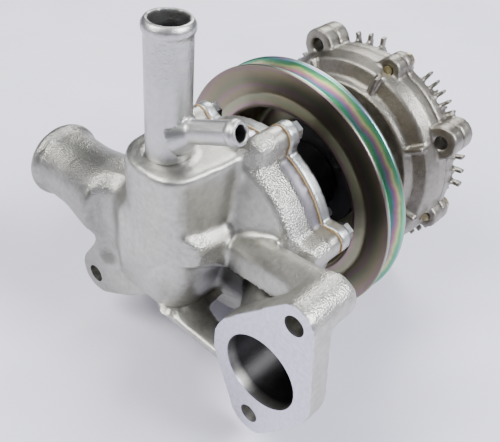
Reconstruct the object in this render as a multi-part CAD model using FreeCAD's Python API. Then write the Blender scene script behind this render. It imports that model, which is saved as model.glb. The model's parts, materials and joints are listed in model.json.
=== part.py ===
"""Engine water pump with a belt pulley and a viscous fan coupling on its shaft.

Units are millimetres.  The shaft lies on the X axis and points from the engine towards the
fan; the engine's mounting plane is x = 0 and +Z is up.  The hose neck runs along +Y and the
mounting flange with the outlet port stands on the -Y side.  Every sub-part is written to
parts/NODE.step.
"""
import FreeCAD
import Part
import math
import os

V = FreeCAD.Vector
X_AXIS = V(1, 0, 0)
Z_AXIS = V(0, 0, 1)
ORIGIN = V(0, 0, 0)

# ---- driving dimensions -------------------------------------------------------------------
# stations along the shaft
CASING_REAR = 38.0        # rear rim of the impeller casing
STRIP_REAR = 50.5         # start of the machined strip beside the joint face
JOINT_FACE = 58.0         # casing face that carries the gasket
GASKET_T = 0.6
COVER_PLATE_T = 6.4
TOWER_END = 103.0
PULLEY_REAR = 80.0        # rear rim of the pulley
PULLEY_FRONT = 94.5
WEB_REAR = 108.0          # pulley web, clamped between the hub and the drive flange
WEB_T = 2.5
DRIVE_FLANGE_T = 3.5
BOSS_REAR = 138.2         # rear faces of the coupling's bosses
PARTING = 146.0           # joint between the coupling's case and cover
FAN_FACE = 155.0          # front faces of the bosses that carry the fan
FRONT_FIN_END = 166.0
COUPLING_FRONT = 170.0

# impeller casing and cover
CASING_R = 46.8
STRIP_R = 46.0
LUG_PITCH_R = 49.8
LUG_R = 6.5
LUG_COUNT = 6
LUG_FIRST = -15.8         # angle of the first lug from +Z towards +Y, degrees
LUG_REAR = 40.0
CAVITY_R = 38.0
CAVITY_REAR = 43.0
EYE_R = 16.0
EYE_REAR = 32.0
COVER_SCREW_R = 3.0
COVER_SCREW_AF = 8.0
COVER_SCREW_HEAD = 4.2

# inlet drum under the upright pipe
DRUM = dict(x=(0.0, 44.0), y=(-13.0, 29.0), z=(-29.0, 47.5), corner=17.0)
DRUM_WALL = 5.5
DRUM_ROOF = 13.0

# hose neck along +Y
NECK_X, NECK_Z = 15.4, 4.4
NECK_END = 89.0
NECK_TUBE_R = 17.0
NECK_BEAD_R = 19.0
NECK_ROOT_R = 20.5
NECK_BORE_R = 13.5

# mounting flange: (y, z) of the port and the three bolt holes
PORT = (-62.3, -13.7)
PORT_R = 17.7
BOLT_UPPER = (-74.8, 24.0)
BOLT_LOWER = (-59.6, -43.8)
BOLT_FAR = (44.3, -35.0)
BOLT_HOLE_R = 4.5
FLANGE_T = 11.0
UPPER_BOSS_LENGTH = 27.0
FAR_LUG_T = 13.0
RIB_T = 4.4                # web under the drum that steadies the flange

# upright pipe with its side nipple
PIPE_X, PIPE_Y = 16.3, 9.7
PIPE_R = 9.5
PIPE_BORE_R = 7.6
PIPE_TOP = 105.0
PIPE_SEAT_DEPTH = 11.0
NIPPLE_R = 4.9
NIPPLE_BORE_R = 3.2
NIPPLE_BASE_Z = 57.5
NIPPLE_LENGTH = 37.0
NIPPLE_DIR = V(0.13, -0.89, 0.353)

# shaft, bearing and seal
SHAFT_R = 8.0
BEARING_R = 15.0
BEARING_X = (71.0, 102.0)
RACE_X = (78.0, 95.0)
BALL_R = 2.38
RACE_CLEARANCE = 0.04
BALL_PITCH_R = 9.75
BALL_COUNT = 9
SEAL_R = 16.0
IMPELLER_R = 34.0
VANE_COUNT = 6

# pulley
PULLEY_R = 65.0
GROOVE_R = 51.5
PULLEY_CUP_R = 43.0
PULLEY_SHEET = 2.2
HUB_R = 29.0
STUD_PITCH_R = 22.0
STUD_R = 3.0
STUD_COUNT = 4

# viscous coupling
BOSS_FIRST = 30.4         # angle of the first fan boss from +Z towards +Y, degrees
BOSS_COUNT = 4
FAN_PITCH_R = 58.75
FAN_HOLE_R = 3.4
SCREW_PITCH_R = 55.6
CASE_R = 56.0
CASE_CAVITY_R = 50.0
PLATEAU_R = 43.0
NOSE_R = 24.0
FIN_OUTER_R = 60.5
FIN_T = 2.0
FIN_X = (153.5, 157.5)
# rim fins of the two kinds of gap between bosses; pitch and shift in degrees
FIN_GROUPS = (dict(count=5, pitch=5.4, shift=-1.9), dict(count=3, pitch=7.5, shift=1.3))
FRONT_FIN_COUNT = 36
FRONT_FIN_T = 1.8
SCREW_HEAD = dict(x=(152.0, 155.6), radius=4.4, room=4.6, socket=4.0, socket_depth=2.0)
COUPLING_BEARING = dict(x=(121.5, 133.5), bore=8.5, inner=12.0, outer=16.4, od=20.0,
                        pitch=14.2, ball=3.36, count=8)


# ---- helpers ------------------------------------------------------------------------------
def solid_of(shape):
    """The single solid of a boolean result, with its split faces merged."""
    return shape.removeSplitter().Solids[0]


def rod(start, direction, length, radius):
    return Part.makeCylinder(radius, length, start, direction)


def disc(x0, x1, radius, y=0.0, z=0.0):
    """Cylinder along X between two stations."""
    return rod(V(x0, y, z), X_AXIS, x1 - x0, radius)


def ring(x0, x1, outer, inner, y=0.0, z=0.0):
    return disc(x0, x1, outer, y, z).cut(disc(x0, x1, inner, y, z))


def turned(profile):
    """Solid of revolution about the shaft from (x, radius) corners."""
    corners = [V(x, 0, r) for x, r in profile]
    face = Part.Face(Part.makePolygon(corners + corners[:1]))
    return face.revolve(ORIGIN, X_AXIS, 360)


def turned_y(profile, x, z):
    """Solid of revolution about a line along Y from (y, radius) corners."""
    corners = [V(x + r, y, z) for y, r in profile]
    face = Part.Face(Part.makePolygon(corners + corners[:1]))
    return face.revolve(V(x, 0, z), V(0, 1, 0), 360)


def block(x, y, z):
    """Box from three (low, high) pairs."""
    return Part.makeBox(x[1] - x[0], y[1] - y[0], z[1] - z[0], V(x[0], y[0], z[0]))


def rounded_block(x, y, z, corner):
    """Box whose four upright edges are rounded."""
    box = block(x, y, z)
    upright = [e for e in box.Edges if abs(e.tangentAt(0).z) > 0.99]
    return box.makeFillet(corner, upright)


def polar(radius, degrees, x=0.0):
    """Point at a radius from the shaft, its angle counted from +Z towards +Y."""
    a = math.radians(degrees)
    return V(x, radius * math.sin(a), radius * math.cos(a))


def about_shaft(shape, degrees):
    """Copy turned about the shaft so that +Z moves towards +Y."""
    copy = shape.copy()
    copy.rotate(ORIGIN, X_AXIS, -degrees)
    return copy


def strap(first, second, x0, x1):
    """Plate around two circles (y, z, radius) and their outer tangents."""
    (y1, z1, r1), (y2, z2, r2) = first, second
    gap = math.hypot(y2 - y1, z2 - z1)
    u = V(0, (y2 - y1) / gap, (z2 - z1) / gap)
    n = V(0, -u.z, u.y)
    cosine = (r1 - r2) / gap
    sine = math.sqrt(1 - cosine * cosine)
    corners = []
    for side, order in ((sine, (0, 1)), (-sine, (1, 0))):
        along = u * cosine + n * side
        ends = (V(x0, y1, z1) + along * r1, V(x0, y2, z2) + along * r2)
        corners += [ends[i] for i in order]
    web = Part.Face(Part.makePolygon(corners + corners[:1])).extrude(V(x1 - x0, 0, 0))
    return web.fuse([disc(x0, x1, r1, y1, z1), disc(x0, x1, r2, y2, z2)])


def bridge(section_a, section_b):
    """Ruled solid between two polygons with the same number of corners."""
    wires = [Part.makePolygon([V(*p) for p in s + s[:1]]) for s in (section_a, section_b)]
    return Part.makeLoft(wires, True, True)


def hexagon(x0, x1, across_flats, y, z):
    """Hexagonal prism along X."""
    r = across_flats / math.sqrt(3)
    corners = [V(x0, y + r * math.sin(k * math.pi / 3), z + r * math.cos(k * math.pi / 3))
               for k in range(7)]
    return Part.Face(Part.makePolygon(corners)).extrude(V(x1 - x0, 0, 0))


def around(count, first, step, make):
    """Compound of identical solids, one for each angle."""
    return Part.makeCompound([make(first + k * step) for k in range(count)])


def save(name, shape):
    shape.exportStep(f"parts/{name}.step")
    print(name, len(shape.Solids), round(shape.Volume), shape.isValid())


LUG_ANGLES = [LUG_FIRST + k * 360 / LUG_COUNT for k in range(LUG_COUNT)]
COVER_REAR = JOINT_FACE + GASKET_T
COVER_FRONT = COVER_REAR + COVER_PLATE_T
WEB_FRONT = WEB_REAR + WEB_T
DRIVE_FRONT = WEB_FRONT + DRIVE_FLANGE_T


# ---- rear housing -------------------------------------------------------------------------
def lugs(x0, x1, radius=LUG_R):
    """Screw lugs round the joint face, each tied into the rim by a tangent strap."""
    shapes = []
    for angle in LUG_ANGLES:
        outer = polar(LUG_PITCH_R, angle)
        inner = polar(LUG_PITCH_R - 14, angle)
        shapes.append(strap((outer.y, outer.z, radius), (inner.y, inner.z, radius + 1.5), x0, x1))
    return shapes


def lug_holes(x0, x1, radius):
    return [disc(x0, x1, radius, polar(LUG_PITCH_R, a).y, polar(LUG_PITCH_R, a).z)
            for a in LUG_ANGLES]


def casing_outside():
    """Round impeller casing with a coned rear wall."""
    return turned([(28, 0), (30, 24), (CASING_REAR, CASING_R - 1.5), (CASING_REAR + 1.5, CASING_R),
                   (STRIP_REAR, CASING_R), (STRIP_REAR, STRIP_R), (JOINT_FACE, STRIP_R),
                   (JOINT_FACE, 0)])


def drum_outside():
    """Inlet drum, its flat-topped passage to the casing and the shoulder over the neck."""
    drum = rounded_block(DRUM["x"], DRUM["y"], DRUM["z"], DRUM["corner"])
    passage = block((22, 46), (-12, 20), (0, DRUM["z"][1]))
    shoulder = bridge([(2, 20, 46), (42, 20, 46), (42, 20, 0), (2, 20, 0)],
                      [(4, 48, 22), (27, 48, 22), (27, 48, 0), (4, 48, 0)])
    return drum.fuse([passage, shoulder])


def neck_outside():
    """Tapered hose neck with its retaining bead."""
    return turned_y([(18, 0), (18, NECK_ROOT_R), (46, NECK_ROOT_R), (62, NECK_TUBE_R + 0.6),
                     (66, NECK_TUBE_R), (NECK_END - 7, NECK_TUBE_R), (NECK_END - 5, NECK_BEAD_R),
                     (NECK_END - 2.5, NECK_BEAD_R), (NECK_END, NECK_TUBE_R), (NECK_END, 0)],
                    NECK_X, NECK_Z)


def flange_outside():
    """Three-lobed mounting flange, the long upper bolt boss and the outlet duct."""
    upper = (BOLT_UPPER[0], BOLT_UPPER[1], 9.5)
    middle = (PORT[0], PORT[1], 26.0)
    lower = (BOLT_LOWER[0], BOLT_LOWER[1], 11.0)
    boss = disc(0, UPPER_BOSS_LENGTH, 9.5, *BOLT_UPPER)
    duct = bridge_circles((FLANGE_T - 1, PORT[0], PORT[1], 23.0), (48, -32, -16, 19.0))
    return strap(upper, middle, 0, FLANGE_T).fuse(
        [strap(middle, lower, 0, FLANGE_T), boss, duct])


def bridge_circles(first, second):
    """Solid lofted between two circles (x, y, z, radius) square to the shaft."""
    wires = [Part.Wire(Part.makeCircle(r, V(x, y, z), X_AXIS)) for x, y, z, r in (first, second)]
    return Part.makeLoft(wires, True, True)


def arm_outside():
    """Strut from the drum and casing up to the upper bolt boss, with its root on the drum."""
    strut = bridge([(27, -8, -6), (44, -8, -6), (44, -8, 7), (35, -8, 9.5), (28, -8, 7)],
                   [(9.5, -70, 18), (26, -70, 18), (26, -70, 32), (19, -70, 32.5), (11, -70, 27)])
    root = bridge([(30, -8, -6), (30, -21, -3), (30, -19, 9), (30, -8, 15)],
                  [(6, -8, 3), (6, -15.2, 5), (6, -14.2, 17), (6, -8, 20)])
    return strut.fuse(root)


def far_lug_outside():
    """Third bolt lug, tied to the drum, and the flat rib between the drum and the flange."""
    lug = strap((BOLT_FAR[0], BOLT_FAR[1], 12.0), (16.0, -8.0, 20.0), 0, FAR_LUG_T)
    web = block((2, FAR_LUG_T), (20, 46), (-30, 0))
    top = DRUM["z"][0] + 0.4
    low = top - RIB_T
    rib = bridge([(4, 6, low), (26, 6, low), (26, 6, top), (4, 6, top)],
                 [(4, -44, low), (13, -44, low), (13, -44, top), (4, -44, top)])
    return lug.fuse([web, rib])


def housing_hollow():
    """Everything the coolant flows through, and the holes for pipe, bolts and screws."""
    (x0, x1), (y0, y1), (z0, z1) = DRUM["x"], DRUM["y"], DRUM["z"]
    chamber = rounded_block((x0 + DRUM_WALL, 36), (y0 + DRUM_WALL, y1 - DRUM_WALL),
                            (z0 + DRUM_WALL, z1 - DRUM_ROOF), 11)
    bore = rod(V(NECK_X, 15, NECK_Z), V(0, 1, 0), NECK_END, NECK_BORE_R)
    eye = disc(EYE_REAR, CAVITY_REAR + 1, EYE_R)
    cavity = disc(CAVITY_REAR, JOINT_FACE + 1, CAVITY_R)
    port = disc(-1, 24, PORT_R, *PORT)
    outlet = bridge_circles((24, PORT[0], PORT[1], PORT_R), (50, -27, -14, 9.0))
    seat = rod(V(PIPE_X, PIPE_Y, z1 - PIPE_SEAT_DEPTH), Z_AXIS, 40, PIPE_R)
    feed = rod(V(PIPE_X, PIPE_Y, 20), Z_AXIS, 30, PIPE_BORE_R - 1)
    bolts = [disc(-1, 60, BOLT_HOLE_R, *BOLT_UPPER), disc(-1, FLANGE_T + 1, BOLT_HOLE_R, *BOLT_LOWER),
             disc(-1, FAR_LUG_T + 1, BOLT_HOLE_R, *BOLT_FAR)]
    return [chamber, bore, eye, cavity, port, outlet, seat, feed] + bolts + lug_holes(
        LUG_REAR + 4, JOINT_FACE + 1, COVER_SCREW_R)


def rear_housing():
    outside = casing_outside().fuse(
        [drum_outside(), neck_outside(), flange_outside(), arm_outside(), far_lug_outside()]
        + lugs(LUG_REAR, JOINT_FACE))
    behind = block((-60, 0), (-20, 42), (-60, 60))
    bolt_room = disc(UPPER_BOSS_LENGTH, 80, 9.4, *BOLT_UPPER)
    head_room = disc(FLANGE_T, 40, 8.5, BOLT_LOWER[0], BOLT_LOWER[1])
    body = outside.cut([behind, bolt_room, head_room])
    return solid_of(body.cut(housing_hollow()))


def heater_pipe():
    """Upright pipe with a rolled bead at its mouth and a beaded side nipple."""
    top = PIPE_TOP
    seat = DRUM["z"][1] - PIPE_SEAT_DEPTH
    profile = [(seat, 0), (seat, PIPE_R), (top - 5.5, PIPE_R), (top - 4.0, PIPE_R + 0.8),
               (top - 2.0, PIPE_R + 0.8), (top, PIPE_R - 0.4), (top, 0)]
    corners = [V(PIPE_X + r, PIPE_Y, z) for z, r in profile]
    pipe = Part.Face(Part.makePolygon(corners + corners[:1])).revolve(
        V(PIPE_X, PIPE_Y, 0), Z_AXIS, 360)
    base = V(PIPE_X, PIPE_Y, NIPPLE_BASE_Z)
    way = V(NIPPLE_DIR).normalize()
    nipple = rod(base, way, NIPPLE_LENGTH, NIPPLE_R)
    bead = rod(base + way * (NIPPLE_LENGTH - 4.0), way, 2.0, NIPPLE_R + 0.6)
    fillet = Part.makeCone(NIPPLE_R + 5, NIPPLE_R, 7, base + way * (PIPE_R - 3), way)
    outer = pipe.fuse([nipple, bead, fillet])
    bore = rod(V(PIPE_X, PIPE_Y, seat - 1), Z_AXIS, 90, PIPE_BORE_R)
    side = rod(base, way, NIPPLE_LENGTH + 1, NIPPLE_BORE_R)
    return solid_of(outer.cut([bore, side]))


def cover_gasket():
    sheet = disc(JOINT_FACE, COVER_REAR, STRIP_R).fuse(lugs(JOINT_FACE, COVER_REAR))
    return solid_of(sheet.cut([disc(JOINT_FACE - 1, COVER_REAR + 1, CAVITY_R)]
                              + lug_holes(JOINT_FACE - 1, COVER_REAR + 1, COVER_SCREW_R + 0.3)))


def bearing_housing():
    """Front cover with the bearing tower, its gussets and the drain hole."""
    plate = disc(COVER_REAR, COVER_FRONT, STRIP_R).fuse(lugs(COVER_REAR, COVER_FRONT))
    tower = turned([(COVER_FRONT - 1, 0), (COVER_FRONT - 1, 27), (COVER_FRONT + 5, 22),
                    (TOWER_END - 12, 20), (TOWER_END, 19), (TOWER_END, 0)])
    gussets = []
    for k in range(LUG_COUNT):
        face = Part.Face(Part.makePolygon([V(COVER_FRONT - 1, -2, 18), V(COVER_FRONT - 1, -2, 40),
                                           V(COVER_FRONT + 13, -2, 18), V(COVER_FRONT - 1, -2, 18)]))
        gussets.append(about_shaft(face.extrude(V(0, 4, 0)), LUG_ANGLES[k] + 30))
    hollow = [disc(COVER_REAR - 1, 60.5, SEAL_R + 2), disc(60, 68.5, SEAL_R), disc(60, 80, 11.5),
              disc(BEARING_X[0], TOWER_END + 1, BEARING_R),
              rod(V(69.6, 0, -5), V(0, 0, -1), 30, 1.6)]
    return solid_of(plate.fuse([tower] + gussets).cut(
        hollow + lug_holes(COVER_REAR - 1, COVER_FRONT + 1, COVER_SCREW_R + 0.3)))


def cover_screw(angle):
    centre = polar(LUG_PITCH_R, angle)
    shank = disc(LUG_REAR + 5, COVER_FRONT, COVER_SCREW_R, centre.y, centre.z)
    washer = disc(COVER_FRONT, COVER_FRONT + 0.9, 5.0, centre.y, centre.z)
    head = hexagon(COVER_FRONT + 0.9, COVER_FRONT + COVER_SCREW_HEAD, COVER_SCREW_AF,
                   centre.y, centre.z)
    return solid_of(shank.fuse([washer, head]))


# ---- shaft, bearing, seal and impeller ----------------------------------------------------
def torus_x(x, pitch, tube):
    return Part.makeTorus(pitch, tube, V(x, 0, 0), X_AXIS)


def pump_shaft():
    shaft = turned([(46, 0), (46, SHAFT_R - 1), (47, SHAFT_R), (WEB_FRONT, SHAFT_R),
                    (WEB_FRONT, 0)])
    return solid_of(shaft.cut([torus_x(x, BALL_PITCH_R, BALL_R + RACE_CLEARANCE) for x in RACE_X]))


def bearing_outer_ring():
    sleeve = ring(BEARING_X[0], BEARING_X[1], BEARING_R, 11.5)
    return solid_of(sleeve.cut([torus_x(x, BALL_PITCH_R, BALL_R + RACE_CLEARANCE) for x in RACE_X]))


def bearing_seals():
    """Pair of lip seals at the bearing's two ends."""
    return Part.makeCompound([ring(x, x + 1.6, 11.5, SHAFT_R + 0.06)
                              for x in (BEARING_X[0] + 0.2, BEARING_X[1] - 1.8)])


def balls(x, pitch, radius, count):
    return around(count, 0.0, 360 / count,
                  lambda a: Part.makeSphere(radius, polar(pitch, a, x)))


def cage(x, pitch, radius, count, half_width, half_height):
    """Ball cage: a band with one round pocket for each ball."""
    band = ring(x - half_width, x + half_width, pitch + half_height, pitch - half_height)
    pockets = [Part.makeSphere(radius + 0.08, polar(pitch, k * 360 / count, x))
               for k in range(count)]
    return solid_of(band.cut(pockets))


def impeller():
    """Open impeller: back plate, hub and swept vanes that face the inlet eye."""
    plate = turned([(45.5, SHAFT_R), (45.5, 11), (52, 14.5), (54.2, 17), (54.2, IMPELLER_R),
                    (56.6, IMPELLER_R), (56.6, 16.5), (57.8, 16.5), (57.8, SHAFT_R)])
    vanes = []
    for k in range(VANE_COUNT):
        inside = Part.Arc(V(44.5, 0, 12), V(44.5, 9.5, 21.5), V(44.5, 22, 25.5)).toShape()
        outside = Part.Arc(V(44.5, 24, 23.5), V(44.5, 12, 19.5), V(44.5, 2.6, 11.5)).toShape()
        tip = Part.makeLine(V(44.5, 22, 25.5), V(44.5, 24, 23.5))
        root = Part.makeLine(V(44.5, 2.6, 11.5), V(44.5, 0, 12))
        face = Part.Face(Part.Wire([inside, tip, outside, root]))
        vanes.append(about_shaft(face.extrude(V(10, 0, 0)), k * 360 / VANE_COUNT))
    recess = ring(55.8, 58, 14.5, SHAFT_R)
    return solid_of(plate.fuse(vanes).cut([recess, disc(44, 60, SHAFT_R)]))


def mating_ring_cup():
    return turned([(55.8, SHAFT_R), (55.8, 14.5), (58.2, 14.5), (58.2, 13.5), (56.8, 13.5),
                   (56.8, SHAFT_R)])


def mating_ring():
    return ring(56.8, 59.2, 13.5, SHAFT_R + 0.4)


def carbon_ring():
    return turned([(59.25, 9.6), (59.25, 12.4), (61.6, 12.4), (61.6, 9.6)])


def seal_bellows():
    """Pleated rubber sleeve between the carbon ring and the cup's floor."""
    return turned([(61.6, 8.6), (61.6, 12.4), (63.0, 12.4), (63.0, 10.4), (64.4, 11.6),
                   (65.6, 10.4), (66.4, 11.6), (67.7, 11.6), (67.7, 9.4), (64.0, 8.6)])


def seal_spring():
    """Coil spring that presses the carbon ring against the mating ring."""
    helix = Part.makeHelix(1.9, 4.6, 13.9)
    profile = Part.Wire(Part.makeCircle(0.5, V(13.9, 0, 0), V(0, 1, 0)))
    coil = Part.Wire(helix.Edges).makePipeShell([profile], True, True)
    coil.rotate(ORIGIN, V(0, 1, 0), 90)
    coil.translate(V(62.3, 0, 0))
    return coil


def seal_cup():
    """Drawn brass cup pressed into the cover, with its outer lip."""
    return turned([(59.6, 15.0), (59.6, SEAL_R + 2), (60.5, SEAL_R + 2), (60.5, SEAL_R),
                   (68.5, SEAL_R), (68.5, 9.4), (67.7, 9.4), (67.7, 15.0)])


# ---- pulley -------------------------------------------------------------------------------
def pulley():
    """Cup-shaped V-belt pulley, open towards the engine."""
    slope = 3.5
    rear, front = PULLEY_REAR, PULLEY_FRONT
    profile = [(rear, PULLEY_R - 0.6), (rear + 0.6, PULLEY_R), (rear + PULLEY_SHEET, PULLEY_R - 0.4),
               (rear + slope + 2.0, GROOVE_R + 0.6), (rear + slope + 2.8, GROOVE_R),
               (front - slope - 2.8, GROOVE_R), (front - slope - 2.0, GROOVE_R + 0.6),
               (front - PULLEY_SHEET, PULLEY_R - 0.4), (front - 0.6, PULLEY_R),
               (front, PULLEY_R - 0.6), (front - slope, GROOVE_R - 0.9),
               (front - 2.0, PULLEY_CUP_R + PULLEY_SHEET + 1.2),
               (front, PULLEY_CUP_R + PULLEY_SHEET), (WEB_REAR - 1.5, PULLEY_CUP_R + PULLEY_SHEET - 1.5),
               (WEB_FRONT, PULLEY_CUP_R - 2.0), (WEB_FRONT, SHAFT_R + 0.1),
               (WEB_REAR, SHAFT_R + 0.1), (WEB_REAR, PULLEY_CUP_R - 3.0),
               (WEB_REAR - 2.0, PULLEY_CUP_R - 1.0), (rear + 3.5, PULLEY_CUP_R),
               (rear + 1.6, PULLEY_CUP_R + 1.0), (rear + 1.3, PULLEY_CUP_R + 2.5),
               (rear + slope, GROOVE_R - 0.9)]
    holes = [disc(WEB_REAR - 1, WEB_FRONT + 1, STUD_R, c.y, c.z) for c in stud_centres()]
    return solid_of(turned(profile).cut(holes))


def stud_centres():
    return [polar(STUD_PITCH_R, 45 + k * 360 / STUD_COUNT) for k in range(STUD_COUNT)]


def pulley_hub():
    body = turned([(104.0, SHAFT_R), (104.0, 13.5), (105.2, HUB_R), (WEB_REAR, HUB_R),
                   (WEB_REAR, SHAFT_R)])
    return solid_of(body.cut([disc(100, 120, STUD_R, c.y, c.z) for c in stud_centres()]))


def hub_studs():
    return Part.makeCompound([disc(104.6, DRIVE_FRONT + 5.4, STUD_R, c.y, c.z)
                              for c in stud_centres()])


def hub_nuts():
    nuts = []
    for c in stud_centres():
        nut = hexagon(DRIVE_FRONT, DRIVE_FRONT + 4.6, 10.0, c.y, c.z)
        nuts.append(nut.cut(disc(DRIVE_FRONT - 1, DRIVE_FRONT + 6, STUD_R, c.y, c.z)))
    return Part.makeCompound(nuts)


# ---- viscous coupling ---------------------------------------------------------------------
def drive_shaft():
    """Stub shaft of the coupling with the flange that bolts to the pulley."""
    bore = COUPLING_BEARING["bore"]
    x0, x1 = COUPLING_BEARING["x"]
    body = turned([(WEB_FRONT, 0), (WEB_FRONT, HUB_R), (DRIVE_FRONT, HUB_R), (DRIVE_FRONT, 14),
                   (DRIVE_FRONT + 3, 11), (x0, 10), (x0, bore), (x1 + 4.5, bore),
                   (x1 + 4.5, 7), (145.4, 7), (145.4, 0)])
    return solid_of(body.cut([disc(WEB_FRONT - 1, DRIVE_FRONT + 1, STUD_R, c.y, c.z)
                              for c in stud_centres()]))


def drive_disc():
    """Disc that shears the silicone oil, with ring-shaped lands on its rear face."""
    body = ring(140.0, 144.4, 49.0, 7.0)
    hub = ring(138.0, 140.5, 11.0, 7.0)
    lands = [ring(137.4, 140.5, r + 1.4, r) for r in (34, 38, 42, 46)]
    return solid_of(body.fuse([hub] + lands))


def coupling_bearing_rings():
    b = COUPLING_BEARING
    (x0, x1), middle = b["x"], sum(b["x"]) / 2
    race = torus_x(middle, b["pitch"], b["ball"] + RACE_CLEARANCE)
    inner = solid_of(ring(x0, x1, b["inner"], b["bore"]).cut(race))
    outer = solid_of(ring(x0, x1, b["od"], b["outer"]).cut(race))
    return inner, outer


BOSS_ANGLES = [BOSS_FIRST + k * 90 for k in range(BOSS_COUNT)]
SCREW_ANGLES = [BOSS_FIRST - 45 + k * 90 for k in range(BOSS_COUNT)]


def rim_fins():
    """Short radial cooling fins between the bosses, just in front of the rim."""
    fins = []
    for gap in range(2 * BOSS_COUNT):
        group = FIN_GROUPS[gap % 2]
        middle = BOSS_FIRST + 22.5 + gap * 45 + group["shift"]
        for k in range(group["count"]):
            angle = middle + (k - (group["count"] - 1) / 2) * group["pitch"]
            fin = block(FIN_X, (-FIN_T / 2, FIN_T / 2), (CASE_R - 6, FIN_OUTER_R))
            fins.append(about_shaft(fin, angle))
    return fins


def fan_bosses(x0, x1):
    """Square-shouldered bosses that carry the fan."""
    bosses = []
    for angle in BOSS_ANGLES:
        pad = block((x0, x1), (-8.5, 8.5), (50.0, FAN_PITCH_R))
        bosses.append(about_shaft(pad.fuse(disc(x0, x1, 8.5, 0, FAN_PITCH_R)), angle))
    return bosses


def screw_bosses(x0, x1):
    bosses = []
    for angle in SCREW_ANGLES:
        outer, inner = polar(SCREW_PITCH_R, angle), polar(SCREW_PITCH_R - 9, angle)
        bosses.append(strap((outer.y, outer.z, 6.4), (inner.y, inner.z, 9.0), x0, x1))
    return bosses


def boss_holes(x0, x1):
    fan = [disc(x0, x1, FAN_HOLE_R, polar(FAN_PITCH_R, a).y, polar(FAN_PITCH_R, a).z)
           for a in BOSS_ANGLES]
    screws = [disc(x0, x1, 2.5, polar(SCREW_PITCH_R, a).y, polar(SCREW_PITCH_R, a).z)
              for a in SCREW_ANGLES]
    return fan + screws


def coupling_case():
    """Rear half of the coupling: bearing nose, stepped wall, rim, bosses and fins."""
    b = COUPLING_BEARING
    wall = turned([(120.4, 12), (120.4, NOSE_R - 2), (122.4, NOSE_R), (129.0, NOSE_R + 2),
                   (129.5, PLATEAU_R - 3), (127.6, PLATEAU_R - 2), (127.6, PLATEAU_R),
                   (131.0, PLATEAU_R + 2), (133.0, CASE_R - 3), (BOSS_REAR + 1, CASE_R),
                   (PARTING, CASE_R), (PARTING, 12)])
    ribs = []
    for k in range(2 * BOSS_COUNT):
        rib = block((129.0, 137.0), (-1.3, 1.3), (PLATEAU_R - 20, CASE_R - 2))
        ribs.append(about_shaft(rib, BOSS_FIRST + 45 * k))
    outside = wall.fuse(ribs + fan_bosses(BOSS_REAR, PARTING) + screw_bosses(BOSS_REAR, PARTING))
    cavity = disc(136.0, PARTING + 1, CASE_CAVITY_R)
    lands = [ring(135.5, 139.0, r + 1.4, r) for r in (36, 40, 44)]
    hollow = [disc(b["x"][0], b["x"][1], b["od"]), disc(119, 123, 17.5), disc(130, 137, 11.5)]
    body = outside.cut([cavity]).fuse(lands)
    return solid_of(body.cut(hollow + boss_holes(BOSS_REAR - 1, PARTING + 1)))


def coupling_cover():
    """Front half of the coupling with radial fins and the valve spindle's boss."""
    shell = turned([(PARTING, 0), (PARTING, CASE_R), (152, CASE_R), (156, CASE_R - 4),
                    (158, 30), (160, 12), (164, 9), (164, 0)])
    fins = []
    side = -FRONT_FIN_T / 2
    for k in range(FRONT_FIN_COUNT):
        face = Part.Face(Part.makePolygon([V(154, side, 20), V(154, side, 54), V(161, side, 54),
                                           V(FRONT_FIN_END, side, 44), V(FRONT_FIN_END, side, 26),
                                           V(160, side, 20), V(154, side, 20)]))
        fins.append(about_shaft(face.extrude(V(0, FRONT_FIN_T, 0)), k * 360 / FRONT_FIN_COUNT + 3))
    outside = shell.fuse(fins + fan_bosses(PARTING, FAN_FACE)
                         + screw_bosses(PARTING, SCREW_HEAD["x"][0]) + rim_fins())
    hollow = [disc(PARTING - 1, 147.2, CASE_CAVITY_R), disc(147, 154.0, 40.0),
              disc(150, 166, 2.05), ring(PARTING - 1, 147.2, 53.2, 51.2)]
    rooms = [disc(SCREW_HEAD["x"][0], COUPLING_FRONT, SCREW_HEAD["room"], c.y, c.z)
             for c in (polar(SCREW_PITCH_R, a) for a in SCREW_ANGLES)]
    return solid_of(outside.cut(hollow + rooms + boss_holes(PARTING - 1, 160)))


def divider_plate():
    """Plate between the oil reservoir and the working chamber, with its valve port."""
    plate = disc(PARTING + 0.05, 147.2, CASE_CAVITY_R)
    return solid_of(plate.cut([disc(145, 149, 2.0, 0, 28), disc(145, 149, 1.2, 0, -36)]))


def cover_seal_ring():
    return ring(PARTING, 147.2, 53.2, 51.2)


def case_screw(angle):
    c = polar(SCREW_PITCH_R, angle)
    x0, x1 = SCREW_HEAD["x"]
    shank = disc(BOSS_REAR - 0.6, x0, 2.5, c.y, c.z)
    head = disc(x0, x1, SCREW_HEAD["radius"], c.y, c.z)
    socket = hexagon(x1 - SCREW_HEAD["socket_depth"], x1 + 1, SCREW_HEAD["socket"], c.y, c.z)
    return solid_of(shank.fuse(head).cut(socket))


def valve_arm():
    """Spring leaf that covers the port in the divider plate."""
    leaf = strap((0, 0, 4.5), (12.0, 26.0, 4.0), 147.6, 148.6)
    return solid_of(leaf.cut(disc(147, 149, 2.0)))


def valve_spindle():
    body = disc(147.6, 168.5, 2.0)
    collar = disc(148.6, 149.6, 3.4)
    return solid_of(body.fuse(collar))


def bimetal_coil():
    """Flat spiral strip whose radius grows by the same amount every turn."""
    turns, start, pitch, thickness = 3.5, 3.2, 2.4, 0.8
    steps = 24
    sides = []
    for offset in (-thickness / 2, thickness / 2):
        points = []
        for k in range(int(turns * steps) + 1):
            angle = 2 * math.pi * k / steps
            radius = start + pitch * k / steps + offset
            points.append(V(165.0, radius * math.sin(angle), radius * math.cos(angle)))
        curve = Part.BSplineCurve()
        curve.interpolate(points)
        sides.append((curve.toShape(), points))
    (inner, a), (outer, b) = sides
    caps = [Part.makeLine(a[-1], b[-1]), Part.makeLine(b[0], a[0])]
    face = Part.Face(Part.Wire(Part.__sortEdges__([inner, outer] + caps)))
    return face.extrude(V(3.4, 0, 0))


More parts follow.
